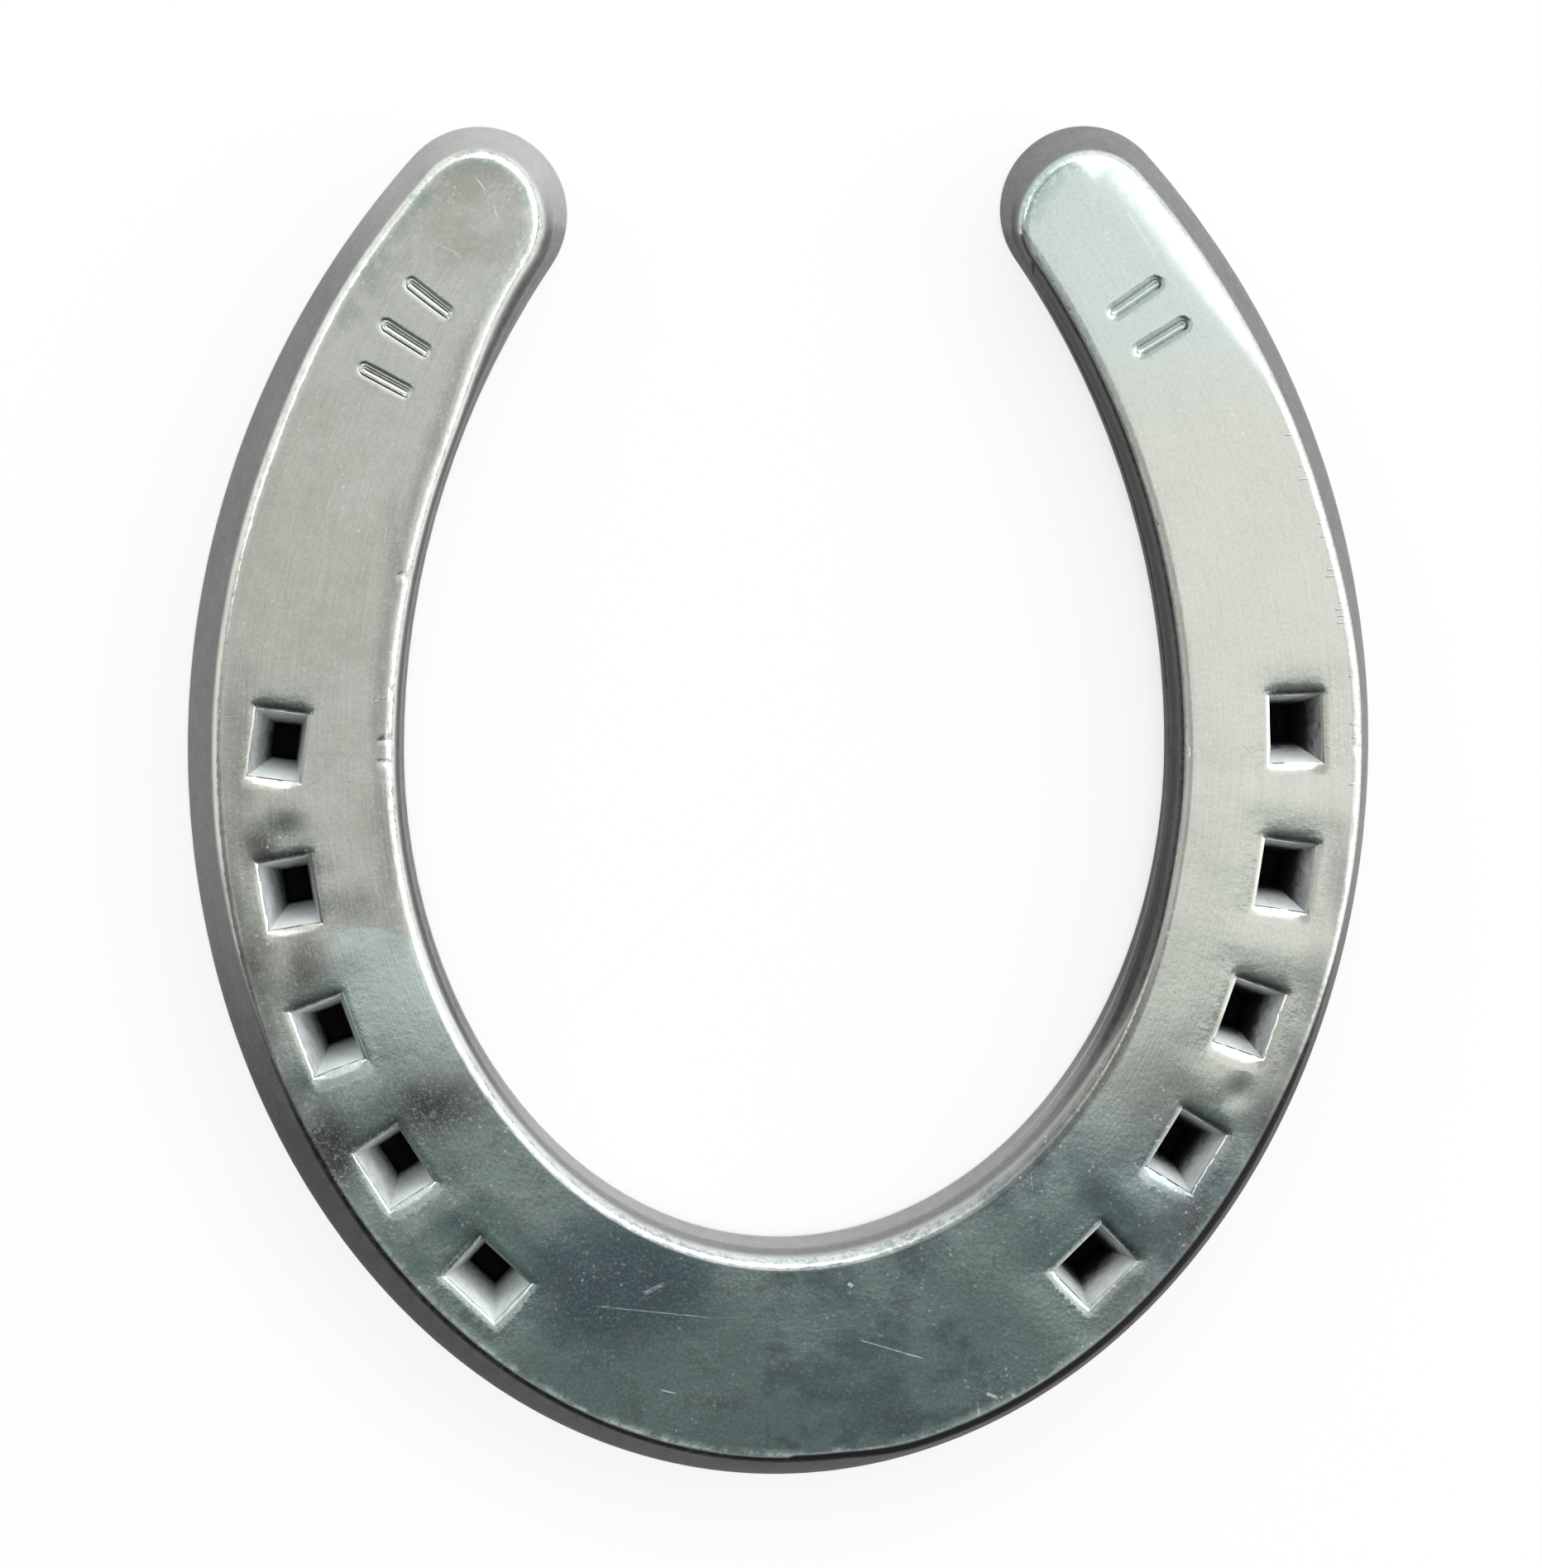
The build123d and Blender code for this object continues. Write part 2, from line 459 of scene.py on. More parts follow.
@dataclass
class ForgedShoe:
    """The one forging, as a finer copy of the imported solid's mesh, with its wear cut in."""

    plan: Plan = field(default_factory=Plan)
    nail_pitch: float = 16.1
    toe_to_first_nail: float = 36.5
    right_row_setback: float = 1.0
    left_heel_nail_turn: float = 7.0
    nail_line_inset: float = 9.6
    nail_line_sweep: float = 98.0
    lips: tuple[tuple[float, float], ...] = (
        (0.45, 0.12), (0.9, 0.3), (1.3, 0.42), (1.3, 0.42), (1.3, 0.42),
    )
    left_bars: int = 3
    right_bars: int = 2
    bar_pitch: float = 5.2
    bar_inset: float = 11.4
    heel_to_bars: float = 18.5
    left_hole_lean: float = 0.4
    rim_lift: float = 0.24
    border: float = 0.08
    grid: float = 0.7
    ridge_height: float = 2.7
    ridge_width: float = 0.17
    ridge: float = 0.17
    ridge_cuts: tuple[float, ...] = (-0.4, -0.2, -0.1, 0.0, 0.1, 0.2, 0.4)
    inner_spread: float = 1.0
    outer_spread: float = 0.6
    heel_draw: tuple[float, float] = (0.5, 1.9)
    heel_drop: float = 1.1
    crease_angle: float = 32.0
    nicks: tuple[Nick, ...] = (
        Nick(-40.7, 26.0, 12, 0.85, 0.6, 2.2, True),
        Nick(-42.5, 13.6, 8, 0.5, 0.5, 2.0, True),
        Nick(-43.2, 8.0, 0, 0.3, 0.45, 1.8, True),
        Nick(-43.3, 5.6, -6, 0.35, 0.5, 1.8, True),
        Nick(61.7, 27.2, 10, 0.3, 0.4, 2.6, True),
        Nick(62.0, 23.4, -12, 0.35, 0.45, 2.8, True),
        Nick(62.3, 21.6, 8, 0.25, 0.4, 2.4, True),
        Nick(62.2, 8.6, 0, 0.3, 0.45, 2.4, True),
        Nick(62.0, 6.5, 15, 0.3, 0.4, 2.2, True),
    )
    dents: tuple[Nick, ...] = (
        Nick(-54.6, -2.2, 60, 0.05, 3.0, 1.3),
        Nick(49.2, -31.3, 50, 0.045, 2.2, 1.4),
        Nick(47.3, -24.2, 0, 0.012, 1.2),
        Nick(55.6, -33.5, 60, 0.03, 2.6, 1.6),
        Nick(-52.5, -30.8, 110, 0.03, 2.6, 1.4),
        Nick(-59.5, -13.5, 80, 0.03, 3.4, 1.8),
        Nick(-37.5, -46.0, 20, 0.02, 3.0, 1.2),
    )

    def bars(self) -> list[Bar]:
        """Place the tally bars on an arc inset from each branch's outer edge.

        Returns:
            The bars, left branch first.
        """
        bars = []
        radius = self.plan.outer_radius - self.bar_inset
        middle = self.plan.width / 2 - self.plan.outer_radius
        rise = self.plan.length / 2 - self.heel_to_bars - self.plan.widest_y
        for side, count in ((Side.LEFT, self.left_bars), (Side.RIGHT, self.right_bars)):
            for i in range(count):
                angle = math.asin(rise / radius) - i * self.bar_pitch / radius
                x = side.value * (middle + radius * math.cos(angle))
                y = self.plan.widest_y + radius * math.sin(angle)
                bars.append(Bar(x, y, side.value * math.degrees(angle)))
        return bars

    def nail_holes(self) -> list[NailHole]:
        """Place the mouths of the nail holes along an ellipse inset from the outer edge.

        Returns:
            The holes, left branch first and from the toe back.
        """
        holes = []
        half = self.plan.width / 2 - self.nail_line_inset
        toe = self.plan.toe_to_widest - self.nail_line_inset
        steps = np.linspace(0, math.radians(self.nail_line_sweep), 4000)
        xs, ys = half * np.sin(steps), self.plan.widest_y - toe * np.cos(steps)
        lengths = np.concatenate([[0], np.cumsum(np.hypot(np.diff(xs), np.diff(ys)))])
        for side in Side:
            setback = self.right_row_setback if side is Side.RIGHT else 0.0
            for i, (lip, drop) in enumerate(self.lips):
                from_toe = self.toe_to_first_nail + setback + i * self.nail_pitch
                k = int(np.searchsorted(lengths, from_toe))
                slope = math.atan2(ys[k + 1] - ys[k], xs[k + 1] - xs[k])
                turn = math.degrees(slope) * side.value
                if side is Side.LEFT and i == len(self.lips) - 1:
                    turn -= self.left_heel_nail_turn
                holes.append(NailHole(side.value * float(xs[k]), float(ys[k]), turn, side, lip, drop))
        return holes

    @staticmethod
    def slice(bm: bmesh.types.BMesh, geom: list, spot: Vector, normal: Vector) -> list:
        """Cut some of the mesh along a plane and mark the cut.

        Args:
            bm: The mesh.
            geom: Its vertices, edges and faces to cut.
            spot: A point on the plane, in metres.
            normal: The plane's normal.

        Returns:
            The same geometry with what the cut added.
        """
        done = bmesh.ops.bisect_plane(bm, geom=geom, dist=1e-7, plane_co=spot, plane_no=normal)
        for part in done["geom_cut"]:
            if isinstance(part, bmesh.types.BMEdge):
                part.seam = True
        return done["geom"]

    def cut_rows(self, bm: bmesh.types.BMesh, faces: list, axis: int, places: list[float]) -> list:
        """Cut faces along parallel planes, halving them at the middle plane each time.

        Args:
            bm: The mesh.
            faces: The faces to cut.
            axis: 0 for planes across X, 1 for planes across Y.
            places: Where the planes lie on that axis, in rising order, in metres.

        Returns:
            The faces that come of it.
        """
        if not places or not faces:
            return faces
        middle = len(places) // 2
        normal = Vector((1.0 - axis, float(axis), 0.0))
        geom = self.slice(bm, self.gather(faces), normal * places[middle], normal)
        sides = ([], [])
        for face in geom:
            if isinstance(face, bmesh.types.BMFace):
                sides[face.calc_center_median()[axis] > places[middle]].append(face)
        return (self.cut_rows(bm, sides[0], axis, places[:middle])
                + self.cut_rows(bm, sides[1], axis, places[middle + 1:]))

    @staticmethod
    def gather(faces: list) -> list:
        """Return faces with their edges and vertices, each of them once."""
        edges = {edge for face in faces for edge in face.edges}
        verts = {vert for face in faces for vert in face.verts}
        return [*verts, *edges, *faces]

    def cut_marks(self, bm: bmesh.types.BMesh, faces: list) -> None:
        """Cut faces finer round each nail hole, bar and nick.

        Args:
            bm: The mesh.
            faces: The faces of the ground side. Each is cut for one mark at most.
        """
        centres = np.array([f.calc_center_median() for f in faces]) / MM
        spent = np.zeros(len(faces), bool)
        for mark in (*self.nail_holes(), *self.bars(), *self.nicks):
            near = mark.near(centres) & ~spent
            spent |= near
            local = self.gather([faces[i] for i in np.flatnonzero(near)])
            middle = Vector((mark.x, mark.y, 0.0))
            for way, reach in mark.planes():
                local = self.slice(bm, local, (middle + way * reach) * MM, way)

    def cut_finer(self) -> bmesh.types.BMesh:
        """Copy the node's mesh, merge it, and cut it finer where the wear needs it.

        Returns:
            The finer mesh, with every edge of the solid kept.
        """
        bm = bmesh.new()
        bm.from_mesh(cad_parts[NODE].data)
        bmesh.ops.remove_doubles(bm, verts=bm.verts[:], dist=1e-6)
        bmesh.ops.dissolve_limit(bm, angle_limit=0.004, verts=bm.verts[:], edges=bm.edges[:])
        low, high = (Vector(corner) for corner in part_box(NODE))
        top = high.z
        face_level = top - 0.01 * MM
        flat = [f for f in bm.faces if f.normal.z > 0.999 and f.calc_center_median().z > face_level]
        border = bmesh.ops.inset_region(bm, faces=flat, thickness=self.border * MM, use_boundary=True,
                                        use_even_offset=True)
        for face in border["faces"]:
            for edge in face.edges:
                edge.seam = True
        bmesh.ops.triangulate(bm, faces=bm.faces[:])
        grid = self.grid * 1 * MM
        faces = [f for f in bm.faces if f.calc_center_median().z > top - 0.9 * MM]
        for axis in (0, 1):
            places = [float(v) for v in np.arange(low[axis] + grid / 2, high[axis], grid)]
            faces = self.cut_rows(bm, faces, axis, places)
        self.cut_marks(bm, faces)
        wall = self.gather([f for f in bm.faces if abs(f.normal.z) < 0.5
                            and 1.2 * MM < f.calc_center_median().z < top - 1.2 * MM])
        for step in self.ridge_cuts:
            spot = Vector((0, 0, self.ridge_height + step)) * MM
            wall = self.slice(bm, wall, spot, Vector((0, 0, 1)))
        bmesh.ops.dissolve_limit(bm, angle_limit=0.002, verts=bm.verts[:], edges=bm.edges[:],
                                 delimit={"SEAM"})
        crease = math.radians(self.crease_angle)
        for edge in bm.edges:
            rolled = min(vert.co.z for vert in edge.verts) > face_level
            edge.smooth = edge.calc_face_angle(0.0) < (0.9 if rolled else crease)
        for face in bm.faces:
            face.smooth = True
        return bm

    def sink(self, points: np.ndarray, edges: dict[str, np.ndarray]) -> np.ndarray:
        """Work out how far wear and forging lower each point of the ground face.

        Args:
            points: One row of X, Y and Z for each point, in millimetres.
            edges: What Plan.measure gives for the points.

        Returns:
            The depths, all 0 or more.
        """
        x, y = points[:, 0], points[:, 1]
        depth = 0.03 + 0.006 * np.sin(x / 3.1 + 2 * np.sin(y / 7.3)) * np.sin(y / 3.7 + x / 9.0)
        depth += 0.012 * np.sin(x / 8.3 + 1.3) * np.cos(y / 6.9 + np.sin(x / 5.7))
        for hole in self.nail_holes():
            depth += hole.roll(points)
        heel_side = np.minimum(edges["outer"], edges["heel"])
        cx, cy, _ = self.plan.right_heel
        outward = (0.94 * (x - cx) + 0.34 * (y - cy)) / np.maximum(np.hypot(x - cx, y - cy), 1.0)
        round_the_end = np.where(edges["heel"] < FAR, smooth(outward, -0.1, 0.5), 1.0)
        right_heel = smooth(y, 39.0, 61.0) * (x > 0) * round_the_end
        reach = 0.9 + 3.9 * right_heel
        depth += self.heel_drop * right_heel * np.clip(1 - (heel_side + 0.3) / reach, 0, 1) ** 2
        left_rim = smooth(y, -36.0, -12.0) * (x < 0)
        depth += 0.05 * left_rim * smooth(heel_side, 1.6, 0.0)
        depth += 0.03 * smooth(edges["inner"], 1.0, 0.4) * smooth(y, -30.0, -10.0)
        for mark in (*self.nicks, *self.dents):
            depth += mark.cut(points)
        for bar in self.bars():
            depth += bar.press(points)
        return depth

    def ridge_push(self, points: np.ndarray, edges: dict[str, np.ndarray]) -> np.ndarray:
        """Work out the fine forging seam that stands along the inner wall.

        Args:
            points: One row of X, Y and Z for each point, in millimetres.
            edges: What Plan.measure gives for the points.

        Returns:
            How far each point moves in X and Y, one row a point.
        """
        off = (points[:, 2] - self.ridge_height) / self.ridge_width
        fade = smooth(np.abs(edges["along"]), 40.0, 52.0) * smooth(points[:, 1], 62.0, 50.0)
        on_wall = (edges["inner"] < -0.4) * (edges["inner"] > -3.0)
        push = self.ridge * np.exp(-(off**2)) * fade * on_wall
        return self.outward(points, "inner") * push[:, None]

    def outward(self, points: np.ndarray, edge: str) -> np.ndarray:
        """Work out which way leads straight out over an edge.

        Args:
            points: One row of X, Y and Z for each point, in millimetres.
            edge: The edge's name in Plan.measure.

        Returns:
            Directions of length 1 in X and Y, one row a point.
        """
        step = 0.05
        slopes = []
        for axis in (0, 1):
            nudge = np.zeros(3)
            nudge[axis] = step
            before, after = self.plan.measure(points - nudge), self.plan.measure(points + nudge)
            slopes.append(before[edge] - after[edge])
        slope = np.stack(slopes, axis=1) / (2 * step)
        return slope / np.maximum(np.linalg.norm(slope, axis=1, keepdims=True), 0.2)

    def spread(self, points: np.ndarray, edges: dict[str, np.ndarray]) -> np.ndarray:
        """Work out how the face spread or drew in under use, with the hoof side where it was.

        Args:
            points: One row of X, Y and Z for each point, in millimetres.
            edges: What Plan.measure gives for the points.

        Returns:
            The moves in X and Y, one row a point.
        """
        x, y = points[:, 0], points[:, 1]
        outer, inner = edges["outer"], edges["inner"]
        rise = np.clip((points[:, 2] - 1) / 9, 0, 1)
        right = smooth(x, 4.0, 14.0)
        inside = self.inner_spread * right * smooth(y, -30.0, -4.0) * smooth(inner, 9.0, 0.0)
        outside = self.outer_spread * right * smooth(y, 34.0, 12.0) * smooth(outer, 3.2, 0.0)
        move = self.outward(points, "inner") * inside[:, None]
        move = move + self.outward(points, "outer") * outside[:, None]
        share = np.clip(outer / np.clip(outer + inner, 1, None), 0, 1)
        heel = smooth(y, 40.0, 60.0) * (x < 0)
        outer_draw, inner_draw = self.heel_draw
        move[:, 0] -= (outer_draw * (1 - share) + inner_draw * share) * heel
        move[:, 1] += 0.3 * heel * (1 - 2 * share)
        return move * rise[:, None]

    @staticmethod
    def wall_light_and_shade(points: np.ndarray, edges: dict[str, np.ndarray]) -> np.ndarray:
        """Work out the walls' painted light and shade: shaded at the toe and inside the right branch,
        lit at the heels.

        Args:
            points: One row of X, Y and Z for each point, in millimetres.
            edges: What Plan.measure gives for the points.

        Returns:
            The tones, 0 painted shade to 1 painted light.
        """
        x, y = points[:, 0], points[:, 1]
        outside = edges["outer"] < edges["inner"]
        # Painted shade towards the toe and inside the right branch, painted light towards the heels.
        heel = smooth(y, 56.0, 70.0)
        outer = 0.5 - 0.5 * smooth(y, 0.0, -42.0) + np.where(x < 0, 0.4, 0.05) * heel - 0.12 * (x > 0)
        inner = 0.42 + 0.36 * smooth(y, -18.0, -40.0) - 0.32 * smooth(y, -34.0, -12.0) * (x > 0)
        return np.where(outside | (heel > 0.5), outer, inner + 0.1 * heel)

    @staticmethod
    def smudges_and_shade(points: np.ndarray, edges: dict[str, np.ndarray], holes: list[NailHole]) -> np.ndarray:
        """Work out where the face is darkened: by soot and handling, partly as painted shade for dark
        reflections, and by painted shade behind each nail hole.

        Args:
            points: One row of X, Y and Z for each point, in millimetres.
            edges: What Plan.measure gives for the points.
            holes: The nail holes, each with painted shade on its heel side.

        Returns:
            The marks, 0 clean to 1 dark.
        """
        total = np.zeros(len(points))
        for x, y, wide, tall, strength in SOOT_AND_SHADE_SPOTS:
            far = np.hypot((points[:, 0] - x) / wide, (points[:, 1] - y) / tall)
            total = np.maximum(total, strength * np.exp(-(far**2) * 0.7))
        for hole in holes:
            toeward, across = hole.local(points)
            behind = -toeward - hole.half_length - hole.flare
            beside = np.abs(across) - hole.half_width - hole.flare
            # Painted shade on the heel side of each mouth, where the rolled rim dips away.
            soot_and_shade = 0.9 * np.exp(-np.clip(behind, 0, None) / 0.5)
            soot_and_shade = soot_and_shade * smooth(beside, 0.4, -1.0) * (behind > -0.1)
            total = np.maximum(total, soot_and_shade)
        band = 0.3 * np.exp(-(((edges["inner"] - 1.6) / 0.8) ** 2)) * (points[:, 0] < 0)
        band = band * smooth(points[:, 1], -12.0, 12.0) * smooth(points[:, 1], 60.0, 48.0)
        return np.maximum(total, band)

    def build(self) -> bpy.types.Object:
        """Build the worn shoe and store on it what its finish reads.

        Returns:
            The shoe's mesh object, at the origin.
        """
        bm = self.cut_finer()
        mesh = bpy.data.meshes.new("forged_shoe")
        bm.to_mesh(mesh)
        bm.free()
        places = np.empty(len(mesh.vertices) * 3)
        mesh.vertices.foreach_get("co", places)
        points = places.reshape(-1, 3) / MM
        height = points[:, 2].copy()
        edges = self.plan.measure(points)
        holes = self.nail_holes()
        values = {
            "rim": np.minimum(np.minimum(edges["outer"], edges["inner"]), edges["heel"]),
            "outer": edges["outer"],
            "inner": edges["inner"],
            "hole": np.min([hole.distance(points) for hole in holes], axis=0),
            "along": edges["along"],
            "across": edges["across"],
            "height": height,
            "tone": self.wall_light_and_shade(points, edges),
            "smudge_and_shade": self.smudges_and_shade(points, edges, holes),
        }
        push = self.ridge_push(points, edges) + self.spread(points, edges)
        raised = np.zeros(len(points))
        for hole in holes:
            push += hole.draw_in(points)
            inside = (hole.distance(points) < MOUTH_MARGIN) & (height < FACE_HEIGHT - 0.01)
            flared = inside & (height > 9.5)
            raised = np.where(flared, self.rim_lift * (FACE_HEIGHT - height) / hole.flare, raised)
            if hole.side is Side.LEFT:
                lean = self.left_hole_lean * smooth(height, 9.5, 2.4) * inside
                push += hole.moves(np.zeros(len(points)), lean)
        for bar in self.bars():
            push += bar.narrow(points)
        points[:, 2] += raised - self.sink(points, edges) * smooth(height, 5.0, RIM_HEIGHT)
        points[:, :2] += push
        mesh.vertices.foreach_set("co", (points * MM).ravel())
        for name, numbers in values.items():
            self.store(mesh, name, numbers)
        self.store(mesh, "lit", self.pocket_wall_light(mesh, holes), "FACE")
        shoe = bpy.data.objects.new("forged_shoe", mesh)
        bpy.context.collection.objects.link(shoe)
        triangles = sum(len(p.vertices) - 2 for p in mesh.polygons)
        LOG.info("forged_shoe: %d faces, %d triangles", len(mesh.polygons), triangles)
        return shoe

    @staticmethod
    def pocket_wall_light(mesh: bpy.types.Mesh, holes: list[NailHole]) -> np.ndarray:
        """Work out the painted light on each wall of the nail holes: the toe-end walls, which face the
        heels, are painted lit.

        Args:
            mesh: The shoe's mesh.
            holes: The nail holes.

        Returns:
            A number for each face, 0 painted shade to 1 painted light.
        """
        values = np.empty(len(mesh.polygons) * 3)
        mesh.polygons.foreach_get("center", values)
        centres = values.reshape(-1, 3) / MM
        mesh.polygons.foreach_get("normal", values)
        normals = values.reshape(-1, 3)
        up = normals[:, 1]
        lit = np.zeros(len(centres))
        for hole in holes:
            here = hole.distance(centres) < 0.02
            plain = 0.4 if hole.side is Side.LEFT else 0.26
            wall = np.where(up > 0, plain + (1 - plain) * up, plain - 0.26 * up)
            if hole.side is Side.LEFT:
                toeward, _ = hole.local(np.array([[hole.x, hole.y, 0.0]]) + normals)
                wall += 0.3 * (np.abs(toeward) < 0.5) * (normals[:, 0] < 0)
            lit = np.where(here, wall, lit)
        return lit

    @staticmethod
    def store(mesh: bpy.types.Mesh, name: str, values: np.ndarray, domain: str = "POINT") -> None:
        """Store one number for each vertex or face under a name that materials can read."""
        layer = mesh.attributes.new(name, "FLOAT", domain)
        layer.data.foreach_set("value", values.astype(np.float32))


class Maths:
    """A shader value, with Python's operators adding Math nodes."""

    def __init__(self, paint: "Paint", socket: bpy.types.NodeSocket | None) -> None:
        """Wrap a node's output, or None for a node that has none."""
        self.paint = paint
        self.socket = socket

    def combine(self, operation: str, *others: "Maths | float") -> "Maths":
        """Add a Math node on this value and the others.

        Args:
            operation: The Math node's operation.
            others: The other inputs, as values or numbers.

        Returns:
            The node's output.
        """
        return self.paint.node("ShaderNodeMath", {"operation": operation}, [self, *others])

    def __add__(self, other: "Maths | float") -> "Maths":
        """Add."""
        return self.combine("ADD", other)

    def __radd__(self, other: float) -> "Maths":
        """Add to a number."""
        return self.combine("ADD", other)

    def __sub__(self, other: "Maths | float") -> "Maths":
        """Subtract."""
        return self.combine("SUBTRACT", other)

    def __rsub__(self, other: float) -> "Maths":
        """Subtract from a number."""
        return self.paint.node("ShaderNodeMath", {"operation": "SUBTRACT"}, [other, self])

    def __mul__(self, other: "Maths | float") -> "Maths":
        """Multiply."""
        return self.combine("MULTIPLY", other)

    def __rmul__(self, other: float) -> "Maths":
        """Multiply a number."""
        return self.combine("MULTIPLY", other)

    def __truediv__(self, other: "Maths | float") -> "Maths":
        """Divide."""
        return self.combine("DIVIDE", other)

    def least(self, other: "Maths | float") -> "Maths":
        """Return the lesser of the two."""
        return self.combine("MINIMUM", other)

    def most(self, other: "Maths | float") -> "Maths":
        """Return the greater of the two."""
        return self.combine("MAXIMUM", other)

    def step(self, start: float, end: float) -> "Maths":
        """Rise smoothly from 0 at start to 1 at end, or fall where start lies above end."""
        if start > end:
            return 1 - self.step(end, start)
        settings = {"interpolation_type": "SMOOTHSTEP"}
        return self.paint.node("ShaderNodeMapRange", settings, [self, start, end, 0.0, 1.0])


class Paint:
    """A material's node tree, with a short way to add each kind of node."""

    def __init__(self, name: str) -> None:
        """Start an empty material.

        Args:
            name: The material's name.
        """
        self.material = bpy.data.materials.new(name)
        self.material.use_nodes = True
        self.tree = self.material.node_tree
        self.tree.nodes.clear()

    def node(self, kind: str, settings: dict | None = None, inputs: list | dict | None = None,
             output: int | str = 0) -> Maths:
        """Add a node.

        Args:
            kind: The node's type.
            settings: Properties that are set before the inputs.
            inputs: Values or links, by place in a list or by name in a dict.
            output: Which output to return.

        Returns:
            The wrapped output.
        """
        node = self.tree.nodes.new(kind)
        for name, value in (settings or {}).items():
            setattr(node, name, value)
        pairs = enumerate(inputs) if isinstance(inputs, list) else (inputs or {}).items()
        for key, value in pairs:
            if value is None:
                continue
            if isinstance(value, Maths):
                self.tree.links.new(value.socket, node.inputs[key])
            else:
                node.inputs[key].default_value = value
        return Maths(self, node.outputs[output] if node.outputs else None)

    def attribute(self, name: str) -> Maths:
        """Return the number stored on the mesh under a name."""
        return self.node("ShaderNodeAttribute", {"attribute_name": name}, None, "Fac")

    def place(self) -> Maths:
        """Return the place on the object, in metres."""
        return self.node("ShaderNodeTexCoord", None, None, "Object")

    def split(self, vector: Maths) -> list[Maths]:
        """Return a vector's X, Y and Z."""
        parts = self.node("ShaderNodeSeparateXYZ", None, [vector])
        return [Maths(self, parts.socket.node.outputs[axis]) for axis in range(3)]

    def vector(self, x: Maths | float, y: Maths | float, z: Maths | float = 0.0) -> Maths:
        """Join three values into a vector."""
        return self.node("ShaderNodeCombineXYZ", None, [x, y, z])

    def noise(self, where: Maths, scale: float, detail: float = 3.0, rough: float = 0.5) -> Maths:
        """Return fractal noise, about 0.5 on average."""
        return self.node("ShaderNodeTexNoise", None,
                         {"Vector": where, "Scale": scale, "Detail": detail, "Roughness": rough})

    def mix(self, share: Maths | float, first: Maths | tuple, second: Maths | tuple) -> Maths:
        """Blend two colours."""
        # A Mix node keeps its factor at input 0, and its colours at inputs 6 and 7 and output 2.
        return self.node("ShaderNodeMix", {"data_type": "RGBA"}, {0: share, 6: first, 7: second}, 2)

    def bump(self, height: Maths, depth: float, under: Maths | None = None) -> Maths:
        """Bend the normal by a height field.

        Args:
            height: The height, 0 to 1.
            depth: What a height of 1 stands for, in metres.
            under: The normal to bend, if another bump comes first.

        Returns:
            The bent normal.
        """
        return self.node("ShaderNodeBump", None,
                         {"Strength": 1.0, "Distance": depth, "Height": height, "Normal": under})

    def finish(self, colour: Maths, rough: Maths, metallic: Maths, normal: Maths) -> bpy.types.Material:
        """Close the material with one metal shader and return it."""
        shader = self.node("ShaderNodeBsdfPrincipled", None,
                           {"Base Color": colour, "Roughness": rough, "Metallic": metallic,
                            "Specular IOR Level": 0.2, "Normal": normal})
        self.node("ShaderNodeOutputMaterial", None, {"Surface": shader})
        return self.material


